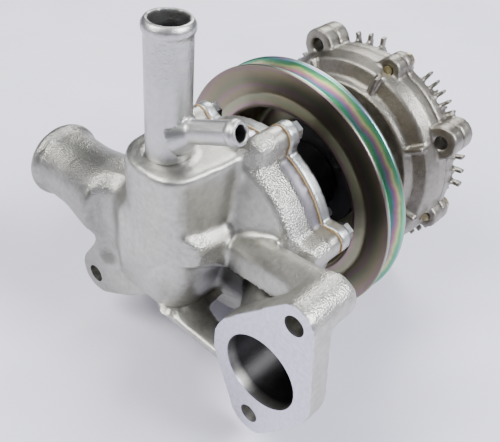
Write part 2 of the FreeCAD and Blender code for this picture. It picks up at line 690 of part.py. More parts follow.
def coil_bracket():
    """Post that holds the coil's outer end on the cover."""
    return block((160.0, 168.4), (-3.0, 3.0), (-14.6, -12.4))


def main():
    os.makedirs("parts", exist_ok=True)
    inner_ring, outer_ring = coupling_bearing_rings()
    b = COUPLING_BEARING
    b_x = sum(b["x"]) / 2
    step = 360 / LUG_COUNT
    nodes = {
        "rear_housing": rear_housing(),
        "heater_pipe": heater_pipe(),
        "cover_gasket": cover_gasket(),
        "bearing_housing": bearing_housing(),
        "cover_screws": around(LUG_COUNT, LUG_FIRST, step, cover_screw),
        "bearing_outer_ring": bearing_outer_ring(),
        "bearing_seals": bearing_seals(),
        "seal_cup": seal_cup(),
        "seal_bellows": seal_bellows(),
        "seal_spring": seal_spring(),
        "carbon_ring": carbon_ring(),
        "pump_shaft": pump_shaft(),
        "impeller": impeller(),
        "mating_ring": mating_ring(),
        "mating_ring_cup": mating_ring_cup(),
        "rear_balls": balls(RACE_X[0], BALL_PITCH_R, BALL_R, BALL_COUNT),
        "rear_cage": cage(RACE_X[0], BALL_PITCH_R, BALL_R, BALL_COUNT, 3.2, 0.6),
        "front_balls": balls(RACE_X[1], BALL_PITCH_R, BALL_R, BALL_COUNT),
        "front_cage": cage(RACE_X[1], BALL_PITCH_R, BALL_R, BALL_COUNT, 3.2, 0.6),
        "pulley_hub": pulley_hub(),
        "pulley": pulley(),
        "hub_studs": hub_studs(),
        "hub_nuts": hub_nuts(),
        "drive_shaft": drive_shaft(),
        "drive_disc": drive_disc(),
        "coupling_inner_ring": inner_ring,
        "coupling_outer_ring": outer_ring,
        "coupling_balls": balls(b_x, b["pitch"], b["ball"], b["count"]),
        "coupling_cage": cage(b_x, b["pitch"], b["ball"], b["count"], 4.4, 1.0),
        "coupling_case": coupling_case(),
        "coupling_cover": coupling_cover(),
        "divider_plate": divider_plate(),
        "cover_seal_ring": cover_seal_ring(),
        "case_screws": around(BOSS_COUNT, SCREW_ANGLES[0], 90, case_screw),
        "valve_arm": valve_arm(),
        "valve_spindle": valve_spindle(),
        "bimetal_coil": bimetal_coil(),
        "coil_bracket": coil_bracket(),
    }
    for name, shape in nodes.items():
        save(name, shape)


main()
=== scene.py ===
"""Looks of the water pump: cast housing, upright pipe, zinc-plated pulley and finned fan coupling.

Lengths are in metres, apart from names that end in _mm, the numbers given to pushed() and the
section of the pulley, which are in millimetres.  The shaft is the X axis and Z is up.
"""
import json
import math

import bmesh
import bpy
import numpy as np
from mathutils import Matrix, Vector


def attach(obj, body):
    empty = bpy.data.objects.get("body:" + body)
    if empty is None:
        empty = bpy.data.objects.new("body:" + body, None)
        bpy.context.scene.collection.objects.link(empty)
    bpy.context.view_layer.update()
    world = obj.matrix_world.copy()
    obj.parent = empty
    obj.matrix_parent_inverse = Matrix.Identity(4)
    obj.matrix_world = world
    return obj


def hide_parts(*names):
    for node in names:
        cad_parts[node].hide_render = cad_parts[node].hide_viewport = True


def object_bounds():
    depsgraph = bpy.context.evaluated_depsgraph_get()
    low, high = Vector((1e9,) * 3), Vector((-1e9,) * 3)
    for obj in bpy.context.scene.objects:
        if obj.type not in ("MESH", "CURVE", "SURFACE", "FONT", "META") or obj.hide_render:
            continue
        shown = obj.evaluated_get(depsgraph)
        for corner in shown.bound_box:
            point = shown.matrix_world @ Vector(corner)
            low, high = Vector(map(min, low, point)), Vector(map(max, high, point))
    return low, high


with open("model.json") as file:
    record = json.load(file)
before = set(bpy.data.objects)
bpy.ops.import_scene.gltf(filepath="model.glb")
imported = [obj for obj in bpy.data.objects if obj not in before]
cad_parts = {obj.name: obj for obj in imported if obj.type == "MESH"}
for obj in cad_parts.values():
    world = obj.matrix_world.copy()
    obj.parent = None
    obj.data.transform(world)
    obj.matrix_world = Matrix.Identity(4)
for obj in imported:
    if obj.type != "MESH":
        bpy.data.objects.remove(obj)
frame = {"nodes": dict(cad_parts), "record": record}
CAD_LOW, CAD_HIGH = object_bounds()

MM = 0.001
SHAFT = np.array([1.0, 0.0, 0.0])
UP = np.array([0.0, 0.0, 1.0])
ALONG_NECK = np.array([0.0, 1.0, 0.0])
CRISP_ANGLE = math.radians(48)       # machined edges sharper than this stay crisp

# places of the bores and faces that were machined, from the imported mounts
MOUNTS = {m["name"]: m for m in frame["record"]["mounts"]}


def mount_place(name):
    """Place of a mount in the row frame."""
    return np.array(MOUNTS[name]["pos_m"], float)


def mount_radius(name):
    """Radius of a bore mount."""
    return MOUNTS[name]["dims"]["r_mm"] * MM


# ---- materials ----------------------------------------------------------------------------
def linear(code):
    """sRGB hex colour as a linear RGBA tuple, by the sRGB curve."""
    values = [int(code[i:i + 2], 16) / 255 for i in (1, 3, 5)]
    colour = [v / 12.92 if v <= 0.04045 else ((v + 0.055) / 1.055) ** 2.4 for v in values]
    return (*colour, 1.0)


def add(tree, kind, inputs=None, stops=None, **settings):
    """One node with its settings, its socket values or links, and its ramp stops."""
    node = tree.nodes.new(kind)
    for key, value in settings.items():
        setattr(node, key, value)
    for key, value in (inputs or {}).items():
        if isinstance(value, bpy.types.NodeSocket):
            tree.links.new(value, node.inputs[key])
        else:
            node.inputs[key].default_value = value
    if stops:
        ramp = node.color_ramp
        while len(ramp.elements) < len(stops):
            ramp.elements.new(0.5)
        for element, (position, colour) in zip(ramp.elements, stops):
            element.position = position
            element.color = linear(colour) if isinstance(colour, str) else (colour,) * 3 + (1.0,)
    return node


def start(name, **shader_values):
    """New material: its tree, its shader and the object coordinates in millimetres."""
    material = bpy.data.materials.new(name)
    material.use_nodes = True
    tree = material.node_tree
    shader = tree.nodes["Principled BSDF"]
    for key, value in shader_values.items():
        shader.inputs[key.replace("_", " ")].default_value = value
    place = add(tree, "ShaderNodeTexCoord").outputs["Object"]
    scaled = add(tree, "ShaderNodeMapping", {"Vector": place, "Scale": (1 / MM,) * 3})
    return material, tree, shader, scaled.outputs["Vector"]


def finish_surface(tree, shader, colour=None, roughness=None, height=None, strength=0.3,
                   depth_mm=1.0):
    """Links the parts of a finish that vary over the surface; height becomes a bump."""
    if colour is not None:
        tree.links.new(colour, shader.inputs["Base Color"])
    if roughness is not None:
        tree.links.new(roughness, shader.inputs["Roughness"])
    if height is not None:
        bump = add(tree, "ShaderNodeBump", {"Height": height, "Strength": strength,
                                            "Distance": depth_mm * MM})
        tree.links.new(bump.outputs["Normal"], shader.inputs["Normal"])


def cast_aluminium(name, light, dark, roughness, grain_mm, grain_strength, machined=None,
                   enamel=None):
    """Sand-cast aluminium: a satin silver skin with cloudy patches and a fine glittering grain.

    The point attribute "rough" marks skin that the mould left coarse, "machined" marks faces
    that a cutter left flat, paler and finely lined, "stain" marks bores and hollows given
    painted shade, near-black, and "enamel" marks a part given painted shade, near-black and not
    metal.
    """
    cloud_mm, blotch_mm, pit_mm, line_mm = 14, 2.6, 0.8, 2.0
    pit_share, bump_mm = 1.8, 0.25
    material, tree, shader, mm = start(name, Metallic=1.0)
    cloud = add(tree, "ShaderNodeTexNoise", {"Vector": mm, "Scale": 1 / cloud_mm,
                                             "Detail": 5.0, "Roughness": 0.65})
    blotch = add(tree, "ShaderNodeTexNoise", {"Vector": mm, "Scale": 1 / blotch_mm,
                                              "Detail": 4.0})
    both = add(tree, "ShaderNodeMath", {0: cloud.outputs["Fac"], 1: blotch.outputs["Fac"]},
               operation="ADD")
    half = add(tree, "ShaderNodeMath", {0: both.outputs[0], 1: 0.5}, operation="MULTIPLY")
    tone = add(tree, "ShaderNodeValToRGB", {"Fac": half.outputs[0]},
               stops=[(0.3, dark), (0.7, light)])
    rough = add(tree, "ShaderNodeAttribute", attribute_name="rough").outputs["Fac"]
    cut = add(tree, "ShaderNodeAttribute", attribute_name="machined").outputs["Fac"]
    grain = add(tree, "ShaderNodeTexNoise", {"Vector": mm, "Scale": 1 / grain_mm, "Detail": 5.0,
                                             "Roughness": 0.7})
    pits = add(tree, "ShaderNodeTexVoronoi", {"Vector": mm, "Scale": 1 / pit_mm})
    pit_height = add(tree, "ShaderNodeMath", {0: pits.outputs["Distance"], 1: rough},
                     operation="MULTIPLY")
    skin = add(tree, "ShaderNodeMath", {0: pit_height.outputs[0], 1: pit_share,
                                        2: grain.outputs["Fac"]}, operation="MULTIPLY_ADD")
    keep = add(tree, "ShaderNodeMath", {0: 1.0, 1: cut}, operation="SUBTRACT")
    height = add(tree, "ShaderNodeMath", {0: skin.outputs[0], 1: keep.outputs[0]},
                 operation="MULTIPLY")
    colour = tone.outputs["Color"]
    gloss = add(tree, "ShaderNodeValToRGB", {"Fac": cloud.outputs["Fac"]},
                stops=[(0.3, roughness - 0.04), (0.7, roughness + 0.06)])
    if machined:
        lines = add(tree, "ShaderNodeTexNoise", {"Vector": mm, "Scale": 1 / line_mm,
                                                 "Detail": 2.0})
        pale = add(tree, "ShaderNodeValToRGB", {"Fac": lines.outputs["Fac"]},
                   stops=[(0.35, machined[0]), (0.65, machined[1])])
        colour = add(tree, "ShaderNodeMix", {"Factor": cut, "A": colour,
                                             "B": pale.outputs["Color"]}, data_type="RGBA")
        colour = colour.outputs["Result"]
    # painted shade: near-black mixed in where the attribute says, darkening bores and hollows as
    # shade would
    stain = add(tree, "ShaderNodeAttribute", attribute_name="stain").outputs["Fac"]
    colour = add(tree, "ShaderNodeMix", {"Factor": stain, "A": colour, "B": linear("#1E1D1F")},
                 data_type="RGBA").outputs["Result"]
    if enamel:
        # painted shade: where the attribute says, near-black non-metal stands in for the shade
        # round the bearing tower
        tower_shade = add(tree, "ShaderNodeAttribute", attribute_name="enamel").outputs["Fac"]
        colour = add(tree, "ShaderNodeMix", {"Factor": tower_shade, "A": colour, "B": linear(enamel)},
                     data_type="RGBA").outputs["Result"]
        bare = add(tree, "ShaderNodeMath", {0: 1.0, 1: tower_shade}, operation="SUBTRACT")
        tree.links.new(bare.outputs[0], shader.inputs["Metallic"])
    finish_surface(tree, shader, colour, gloss.outputs["Color"], height.outputs[0],
                   grain_strength, bump_mm)
    return material


def film_colours(tree, phase, stops):
    """Colour of a thin film from its phase, which repeats every whole number."""
    turn = add(tree, "ShaderNodeMath", {0: phase}, operation="FRACT")
    return add(tree, "ShaderNodeValToRGB", {"Fac": turn.outputs[0]}, stops=stops).outputs["Color"]


def yellow_zinc():
    """Steel with a yellow-chromated zinc plate: fine turned rings under a thin film.  On the
    open faces its colour drifts gently between straw, grey and rose; in the groove, where the
    film is thicker (attribute "groove"), it runs through clear green, rose and white bands."""
    drift_mm, soil_mm, ring_mm = 26, 4.0, 0.5
    wander_mm, calm_band_mm, vivid_band_mm = 7.0, 9, 6.0
    material, tree, shader, mm = start("yellow_chromated_zinc", Metallic=1.0)
    parts = add(tree, "ShaderNodeSeparateXYZ", {"Vector": mm})
    flat = add(tree, "ShaderNodeCombineXYZ", {"Y": parts.outputs["Y"], "Z": parts.outputs["Z"]})
    radius = add(tree, "ShaderNodeVectorMath", {0: flat.outputs[0]}, operation="LENGTH")
    drift = add(tree, "ShaderNodeTexNoise", {"Vector": mm, "Scale": 1 / drift_mm, "Detail": 3.0})
    spread = add(tree, "ShaderNodeMath", {0: drift.outputs["Fac"], 1: wander_mm,
                                          2: radius.outputs["Value"]}, operation="MULTIPLY_ADD")
    slow = add(tree, "ShaderNodeMath", {0: spread.outputs[0], 1: 1 / calm_band_mm},
               operation="MULTIPLY")
    quick = add(tree, "ShaderNodeMath", {0: spread.outputs[0], 1: 1 / vivid_band_mm},
                operation="MULTIPLY")
    calm = film_colours(tree, slow.outputs[0],
                        [(0.0, "#938B76"), (0.28, "#9A9079"), (0.46, "#9A8286"), (0.62, "#8C8872"),
                         (0.82, "#868A74"), (1.0, "#938B76")])
    vivid = film_colours(tree, quick.outputs[0],
                         [(0.0, "#D9DCA8"), (0.16, "#7FB98A"), (0.34, "#62AE92"), (0.5, "#7F9FB4"),
                          (0.66, "#B97FB0"), (0.82, "#CBA6A6"), (1.0, "#D9DCA8")])
    groove = add(tree, "ShaderNodeAttribute", attribute_name="groove").outputs["Fac"]
    film = add(tree, "ShaderNodeMix", {"Factor": groove, "A": calm, "B": vivid}, data_type="RGBA")
    soil = add(tree, "ShaderNodeTexNoise", {"Vector": mm, "Scale": 1 / soil_mm, "Detail": 5.0})
    worn = add(tree, "ShaderNodeMapRange", {"Value": soil.outputs["Fac"], "From Min": 0.5,
                                            "From Max": 0.75, "To Min": 0.0, "To Max": 0.5})
    dull = add(tree, "ShaderNodeMix", {"Factor": worn.outputs["Result"],
                                       "A": film.outputs["Result"], "B": linear("#8D8878")},
               data_type="RGBA")
    rings = add(tree, "ShaderNodeTexNoise", {"W": radius.outputs["Value"], "Scale": 1 / ring_mm,
                                             "Detail": 3.0}, noise_dimensions="1D")
    gloss = add(tree, "ShaderNodeValToRGB", {"Fac": drift.outputs["Fac"]},
                stops=[(0.3, 0.30), (0.7, 0.36)])
    finish_surface(tree, shader, dull.outputs["Result"], gloss.outputs["Color"],
                   rings.outputs["Fac"], strength=0.3, depth_mm=0.08)
    return material


def bright_zinc(name="bright_zinc_plate", light="#C9CCCD", dark="#A6AAAC", roughness=0.3):
    """Clear-passivated zinc on steel: cool silver, slightly clouded where it was handled."""
    cloud_mm = 2.5
    material, tree, shader, mm = start(name, Metallic=1.0)
    cloud = add(tree, "ShaderNodeTexNoise", {"Vector": mm, "Scale": 1 / cloud_mm, "Detail": 4.0})
    tone = add(tree, "ShaderNodeValToRGB", {"Fac": cloud.outputs["Fac"]},
               stops=[(0.3, dark), (0.7, light)])
    gloss = add(tree, "ShaderNodeValToRGB", {"Fac": cloud.outputs["Fac"]},
                stops=[(0.3, roughness - 0.04), (0.7, roughness + 0.06)])
    finish_surface(tree, shader, tone.outputs["Color"], gloss.outputs["Color"],
                   cloud.outputs["Fac"], strength=0.08, depth_mm=0.05)
    return material


def ground_steel():
    """Ground bearing steel: near-mirror, with a faint fine clouding from the grinding wheel."""
    lines_per_mm = 1.5
    material, tree, shader, mm = start("ground_bearing_steel", Metallic=1.0)
    lines = add(tree, "ShaderNodeTexNoise", {"Vector": mm, "Scale": lines_per_mm,
                                             "Detail": 3.0})
    tone = add(tree, "ShaderNodeValToRGB", {"Fac": lines.outputs["Fac"]},
               stops=[(0.3, "#B9BCC0"), (0.7, "#D2D4D6")])
    gloss = add(tree, "ShaderNodeMapRange", {"Value": lines.outputs["Fac"], "To Min": 0.12,
                                             "To Max": 0.28})
    finish_surface(tree, shader, tone.outputs["Color"], gloss.outputs["Result"],
                   lines.outputs["Fac"], strength=0.05, depth_mm=0.03)
    return material


def soft_material(name, light, dark, roughness, patch_mm, specular=0.4, bump=0.2):
    """Non-metal with a mottled colour and a fine tooth: fibre sheet, rubber, carbon, ceramic."""
    material, tree, shader, mm = start(name, Metallic=0.0, Specular_IOR_Level=specular)
    mottle = add(tree, "ShaderNodeTexNoise", {"Vector": mm, "Scale": 1 / patch_mm,
                                              "Detail": 5.0})
    tone = add(tree, "ShaderNodeValToRGB", {"Fac": mottle.outputs["Fac"]},
               stops=[(0.3, dark), (0.7, light)])
    gloss = add(tree, "ShaderNodeMapRange", {"Value": mottle.outputs["Fac"],
                                             "To Min": roughness - 0.08,
                                             "To Max": roughness + 0.08})
    finish_surface(tree, shader, tone.outputs["Color"], gloss.outputs["Result"],
                   mottle.outputs["Fac"], strength=bump, depth_mm=0.08)
    return material


MATERIALS = {
    # sand casting: satin silver with cloudy grey patches, paler where it was milled
    "housing": cast_aluminium("sand_cast_aluminium", "#C2C1BA", "#9C9A92", 0.35, 0.8, 0.6,
                              machined=("#C3C1CC", "#D3D1DB")),
    # drawn tube: even satin with a finer grain
    "pipe": cast_aluminium("satin_aluminium_pipe", "#C6C6C3", "#AFAFAC", 0.36, 0.7, 0.45),
    # die casting: cooler and smoother, its bearing tower painted near-black as painted shade
    "front_cover": cast_aluminium("die_cast_cover", "#C3C6C5", "#9EA2A1", 0.38, 0.4, 0.3,
                                  machined=("#BFC6C8", "#CFD5D7"), enamel="#131214"),
    # die casting that has run warm: brownish grey
    "coupling": cast_aluminium("warm_die_cast", "#97938A", "#79766E", 0.38, 0.7, 0.5),
    "yellow_zinc": yellow_zinc(),
    "bright_zinc": bright_zinc(),
    # near-black steel with a low oily sheen, as painted shade for the hub deep in the pulley's cup
    "painted_shade_black": soft_material("painted_shade_black_steel", "#1B1A1C", "#0F0E10", 0.42, 1.2, 0.6),
    # yellow passivation: pale brass-coloured screw ends
    "brass_screw": bright_zinc("yellow_passivated_screw", "#C4BC9C", "#A39A78", 0.34),
    # drawn brass: warm and smooth
    "seal_brass": bright_zinc("drawn_brass", "#D6B56A", "#B08F48", 0.25),
    # rolled strip: dull copper gold
    "bimetal": bright_zinc("rolled_bimetal", "#C2A777", "#99835C", 0.35),
    "steel": ground_steel(),
    # fibre sheet: matt orange-brown edge
    "gasket": soft_material("orange_fibre_sheet", "#B39A70", "#917750", 0.75, 0.8),
    # moulded rubber: matt black
    "rubber": soft_material("nitrile_rubber", "#232322", "#151515", 0.6, 1.5),
    # lapped carbon: dark grey with a soft shine
    "carbon": soft_material("lapped_carbon", "#3A3A3C", "#242426", 0.35, 0.6),
    # fired alumina: cream white and glossy
    "ceramic": soft_material("alumina_ceramic", "#E9E6DA", "#DAD6C8", 0.2, 2.0),
    # grey iron: dark grey and matt
    "cast_iron": cast_aluminium("grey_cast_iron", "#6B6A68", "#4A4947", 0.5, 0.6, 0.5),
}


# ---- mesh tools ---------------------------------------------------------------------------
def linked(name, data):
    """Object at the origin, in the scene."""
    piece = bpy.data.objects.new(name, data)
    bpy.context.scene.collection.objects.link(piece)
    return piece


def placed(name, mesh, body, node):
    """Piece that shows a mesh in row-frame metres, rides on a body and stands for a CAD node."""
    piece = linked(name, mesh)
    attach(piece, body)
    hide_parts(node)
    return piece


def finished(mesh, material):
    """Mesh with one material and smooth shading."""
    mesh.polygons.foreach_set("use_smooth", np.ones(len(mesh.polygons), bool))
    mesh.materials.clear()
    mesh.materials.append(material)
    mesh.update()
    return mesh


def edited(mesh, edit):
    """Mesh after edit(work), where work is its bmesh."""
    work = bmesh.new()
    work.from_mesh(mesh)
    edit(work)
    work.to_mesh(mesh)
    work.free()
    return mesh


def read(rows, key, width, kind=float):
    """Values of one property of a mesh's vertices or edges, one row for each."""
    values = np.empty(len(rows) * width, kind)
    rows.foreach_get(key, values)
    return values.reshape(-1, width)


def write_attribute(mesh, key, values):
    """One number at each vertex, for the materials to read."""
    attribute = mesh.attributes.new(key, "FLOAT", "POINT")
    attribute.data.foreach_set("value", values.astype(np.float32))


def grid_faces(rows, columns):
    """Quads of a rows x columns grid of vertices that closes on itself both ways."""
    i = np.arange(rows)[:, None]
    j = np.arange(columns)[None, :]
    below, beside = (i + 1) % rows, (j + 1) % columns
    quads = [i * columns + j, i * columns + beside, below * columns + beside, below * columns + j]
    return np.stack([np.broadcast_to(q, (rows, columns)) for q in quads], -1).reshape(-1, 4)


def rounded_outline(corners, steps):
    """Closed outline whose corners (a, b, radius) are replaced by arcs: each arc runs between
    its two tangent points along the quadratic curve that has the corner as its handle."""
    longest_cut = 0.45               # share of the shorter side that an arc may take
    points = np.array([c[:2] for c in corners], float)
    radii = np.array([c[2] for c in corners], float)
    before, after = np.roll(points, 1, 0) - points, np.roll(points, -1, 0) - points
    to_before, to_after = np.linalg.norm(before, axis=1), np.linalg.norm(after, axis=1)
    cut = np.minimum(radii, np.minimum(to_before, to_after) * longest_cut)[:, None]
    a = points + before / to_before[:, None] * cut
    c = points + after / to_after[:, None] * cut
    t = np.linspace(0, 1, steps + 1)[None, :, None]
    arc = (1 - t) ** 2 * a[:, None] + 2 * t * (1 - t) * points[:, None] + t ** 2 * c[:, None]
    return arc.reshape(-1, 2)


def turned_about_shaft(outline_mm, segments):
    """Surface of revolution: outline point (x, r) at angle q lies at (x, r sin q, r cos q)."""
    outline = np.asarray(outline_mm) * MM
    angle = np.linspace(0, 2 * math.pi, segments, endpoint=False)
    x = np.broadcast_to(outline[:, :1], (len(outline), segments))
    y, z = outline[:, 1:] * np.sin(angle), outline[:, 1:] * np.cos(angle)
    vertices = np.stack([x, y, z], -1).reshape(-1, 3)
    return vertices, grid_faces(len(outline), segments)


def merged_copy(node, name):
    """Copy of a CAD node's mesh with its loose triangles joined."""
    def join(work):
        bmesh.ops.remove_doubles(work, verts=work.verts, dist=2e-6)
        bmesh.ops.dissolve_degenerate(work, edges=work.edges, dist=1e-7)

    mesh = frame["nodes"][node].data.copy()
    mesh.name = name
    return edited(mesh, join)


def lattice_noise(points, cell, seed):
    """Value noise between -1 and 1: random numbers on a cubic lattice, blended smoothly."""
    period = 64                      # cells after which the lattice repeats
    table = np.random.default_rng(seed).uniform(-1, 1, (period,) * 3)
    scaled = points / cell
    base = np.floor(scaled).astype(int)
    f = scaled - base
    f = f * f * (3 - 2 * f)
    total = np.zeros(len(points))
    for corner in range(8):
        step = np.array([corner & 1, corner >> 1 & 1, corner >> 2 & 1])
        weight = np.prod(np.where(step, f, 1 - f), axis=1)
        i, j, k = ((base + step) % period).T
        total += weight * table[i, j, k]
    return total


def relaxed(points, edges, rounds, weight):
    """Moves each point towards the mean of its neighbours, then part of the way back, so that
    edges round off and the size is kept."""
    there, back = 0.6, -0.35
    a, b = edges.T
    count = np.bincount(edges.ravel(), minlength=len(points)).astype(float)[:, None]
    for _ in range(rounds):
        for share in (there, back):
            total = np.zeros_like(points)
            for axis in range(3):
                total[:, axis] = (np.bincount(a, points[b, axis], len(points))
                                  + np.bincount(b, points[a, axis], len(points)))
            points = points + share * weight[:, None] * (total / count - points)
    return points


def everywhere(points):
    """Relaxing at full weight all over."""
    return np.ones(len(points))


def unchanged(points):
    """No form beyond the relaxed one."""
    return points


def casting(node, name, material, body, voxel_mm, rounds, skin, weight=everywhere,
            shape=unchanged):
    """Cast piece: the CAD solid remeshed to even quads and relaxed, so that its edges get the
    soft radii of a mould.  weight(points) says how far each point takes part in the relaxing,
    shape(points) gives the sculpted places, and skin(points) the lift of the skin along its
    normals and the attributes that the materials read."""
    raw = linked(name + "_raw", merged_copy(node, name + "_raw"))
    remesh = raw.modifiers.new("even_quads", "REMESH")
    remesh.mode = "VOXEL"
    remesh.voxel_size = voxel_mm * MM
    evaluated = raw.evaluated_get(bpy.context.evaluated_depsgraph_get())
    mesh = bpy.data.meshes.new_from_object(evaluated)
    bpy.data.objects.remove(raw)
    mesh.name = name
    points = read(mesh.vertices, "co", 3)
    edges = read(mesh.edges, "vertices", 2, int)
    points = shape(relaxed(points, edges, rounds, weight(points)))
    mesh.vertices.foreach_set("co", points.ravel())
    mesh.update()
    lift, attributes = skin(points)
    normals = read(mesh.vertices, "normal", 3)
    mesh.vertices.foreach_set("co", (points + normals * lift[:, None]).ravel())
    for key, values in attributes.items():
        write_attribute(mesh, key, values)
    finished(mesh, material)
    mesh.set_sharp_from_angle(angle=CRISP_ANGLE)
    return placed(name, mesh, body, node)


def band(values, low, high, soft):
    """1 where low < values < high, falling to 0 over the distance soft outside."""
    return np.clip((values - low) / soft + 1, 0, 1) * np.clip((high - values) / soft + 1, 0, 1)


def radius_from(points, centre, axis):
    """Distance of points from a line."""
    offset = points - np.asarray(centre)
    along = offset @ axis
    return np.linalg.norm(offset - along[:, None] * axis, axis=1)


def snapped_to_cylinder(points, centre, axis, radius, span, reach):
    """Points near a cylinder and inside its span, moved radially on to it."""
    offset = points - centre
    along = offset @ axis
    radial = offset - along[:, None] * axis
    distance = np.linalg.norm(radial, axis=1)
    near = (np.abs(distance - radius) < reach) & (along > span[0]) & (along < span[1])
    factor = np.where(near, radius / np.maximum(distance, 1e-9), 1.0)[:, None]
    return centre + along[:, None] * axis + radial * factor


def snapped_to_rim(points, centre, radius, face_x, reach):
    """Points near the circle where a bore breaks the face x = face_x, moved on to that circle."""
    offset = points[:, 1:] - centre[1:]
    distance = np.maximum(np.linalg.norm(offset, axis=1), 1e-9)
    near = (np.abs(distance - radius) < reach) & (np.abs(points[:, 0] - face_x) < reach)
    circle = centre[1:] + offset * (radius / distance)[:, None]
    points[near, 1:] = circle[near]
    points[near, 0] = face_x
    return points


def pushed(points, start, end, reach, push):
    """Points near the segment start-end moved by push, which fades as (1 - d^2 / reach^2)^2
    with their distance d from it; all in millimetres."""
    start, end = np.array(start) * MM, np.array(end) * MM
    along = np.clip((points - start) @ (end - start) / ((end - start) @ (end - start)), 0, 1)
    gap = np.linalg.norm(points - start - along[:, None] * (end - start), axis=1)
    fade = np.clip(1 - (gap / (reach * MM)) ** 2, 0, 1) ** 2
    return points + fade[:, None] * np.array(push) * MM


# ---- rear housing -------------------------------------------------------------------------
NECK, PIPE = mount_place("hose_neck"), mount_place("upright_pipe")
FLANGE_HOLES = ("upper_bolt_hole", "lower_bolt_hole", "far_bolt_hole", "outlet_port")

# impeller casing, about the shaft
CASING_X = (38 * MM, 50.5 * MM)      # its coarse cast band
CASING_R = 44 * MM
CASING_BOTTOM = -30 * MM
LUG_X, LUG_R = 46 * MM, 43 * MM      # where its screw lugs begin
STRIP_R = 46 * MM                    # turned strip behind the joint face
JOINT_X = 58 * MM                    # joint face, under the gasket

# mounting flange, hose neck and drum
FLANGE_Y, FLANGE_BODY_Y = -33 * MM, -36 * MM
FLANGE_BACK_X = 12 * MM
NECK_Y = (40 * MM, 90 * MM)
BEAD_Y = 77 * MM
DRUM_AXIS = np.array([19.0, 8.0]) * MM
DRUM_TOP = 47.5 * MM
PIPE_SEAT_R = 9.6 * MM
COLLAR_R = 11.2 * MM                 # raised ring round the pipe's seat

# lower end of the drum, drawn in like a bowl beside its rib
BOWL_TOP, BOWL_DEPTH, BOWL_DRAW = -4.0 * MM, 25.0 * MM, 0.26
BOWL_X, BOWL_Y = (-10 * MM, 38 * MM), (-14 * MM, 32 * MM)
RIB_TOP, RIB_Y = -28.4 * MM, -2 * MM
RIB_FOOT, RIB_SPAN_Y = -24 * MM, (-40 * MM, 20 * MM)
NO_END = -1.0                        # further down or aside than any point of the pump

# strut from drum to flange: its lower edge, and the coarse patch at its root
STRUT_EDGE = np.array([[27.0, -8.0, -6.0], [9.5, -70.0, 18.0]]) * MM
STRUT_ROOT = np.array([12.0, -14.0, 8.0]) * MM

# hollow between drum, strut and outlet duct, given painted shade
SHADED_HOLLOW = np.array([27.0, -24.0, -13.0]) * MM
SHADED_HOLLOW_SIZE = np.array([12.0, 11.0, 11.0]) * MM


def bowl(p):
    """Draws the drum in towards its axis below BOWL_TOP, by the share BOWL_DRAW of its radius
    at the floor and by the square of the depth above that, and leaves the rib as it is."""
    drop = np.clip((BOWL_TOP - p[:, 2]) / BOWL_DEPTH, 0, 1) ** 2
    inside = band(p[:, 0], *BOWL_X, 6 * MM) * band(p[:, 1], *BOWL_Y, 6 * MM)
    rib = band(p[:, 1], NO_END, RIB_Y, 6 * MM) * band(p[:, 2], NO_END, RIB_TOP, 0.8 * MM)
    keep = 1 - BOWL_DRAW * drop * inside * (1 - rib)
    p[:, :2] = DRUM_AXIS + (p[:, :2] - DRUM_AXIS) * keep[:, None]
    return p


def sculpted(p):
    """Forms that the mould gave on top of the plain solids: the drum's bowl-shaped end, the
    valley between drum and neck, the root and bridge of the strut, the rolled rear rim of the
    casing, which rises as a bell curve of the radius, and the drum's full shoulder."""
    p = bowl(p)
    p = pushed(p, (2, 33, 34), (2, 35, -14), 12, (5.0, 0, 0))           # valley
    p = pushed(p, (5, -15, 10), (5, -15, 12), 8, (1.5, 4.0, 0))         # end of the root
    p = pushed(p, (31, -13, 12), (9, -12, 12), 7, (-1.2, -1.8, 1.4))    # bridge
    roll_height, roll_width = 1.0 * MM, 3 * MM
    shaft_r = np.hypot(p[:, 1], p[:, 2])
    rear = band(p[:, 0], 30 * MM, 39 * MM, 4 * MM)
    rear = rear * band(p[:, 2], CASING_BOTTOM, 60 * MM, 5 * MM)
    p[:, 0] -= roll_height * np.exp(-((shaft_r - CASING_R) / roll_width) ** 2) * rear
    return pushed(p, (12, -13, 26), (16, -13, 46), 17, (0.8, 1.9, 0))   # shoulder


def housing_weight(points):
    """Full relaxing on drum, strut and neck, less on lugs and bead, hardly any where cut."""
    x, y, z = points.T
    strut_way = STRUT_EDGE[1] - STRUT_EDGE[0]
    strut_r = radius_from(points, STRUT_EDGE[0], strut_way / np.linalg.norm(strut_way))
    seat_r = radius_from(points, PIPE, UP)
    rules = [
        ((x > LUG_X) & (np.hypot(y, z) > LUG_R), 0.4),                          # screw lugs
        (y > BEAD_Y, 0.12),                                                     # neck's bead
        ((x < FLANGE_BACK_X) & (y < FLANGE_BODY_Y), 0.35),                      # flange
        ((x < 0.6 * MM) & (y < FLANGE_Y), 0.15),                                # its milled face
        (x > JOINT_X - 1.2 * MM, 0.12),                                         # joint face
        ((strut_r < 4 * MM) & (y < -16 * MM), 0.12),                            # strut's edge
        ((z < RIB_FOOT) & (y < RIB_SPAN_Y[1]) & (y > RIB_SPAN_Y[0]), 0.3),      # rib
        ((seat_r < PIPE_SEAT_R + 1.5 * MM) & (z > DRUM_TOP - 14 * MM), 0.1),    # pipe's seat
    ]
    for name in FLANGE_HOLES:
        gap = np.abs(radius_from(points, mount_place(name), SHAFT) - mount_radius(name))
        rules.append(((gap < 1.0 * MM) & (x < 3 * MM), 0.1))
    weight = np.ones(len(points))
    for where, value in rules:
        weight[where] = value
    return weight


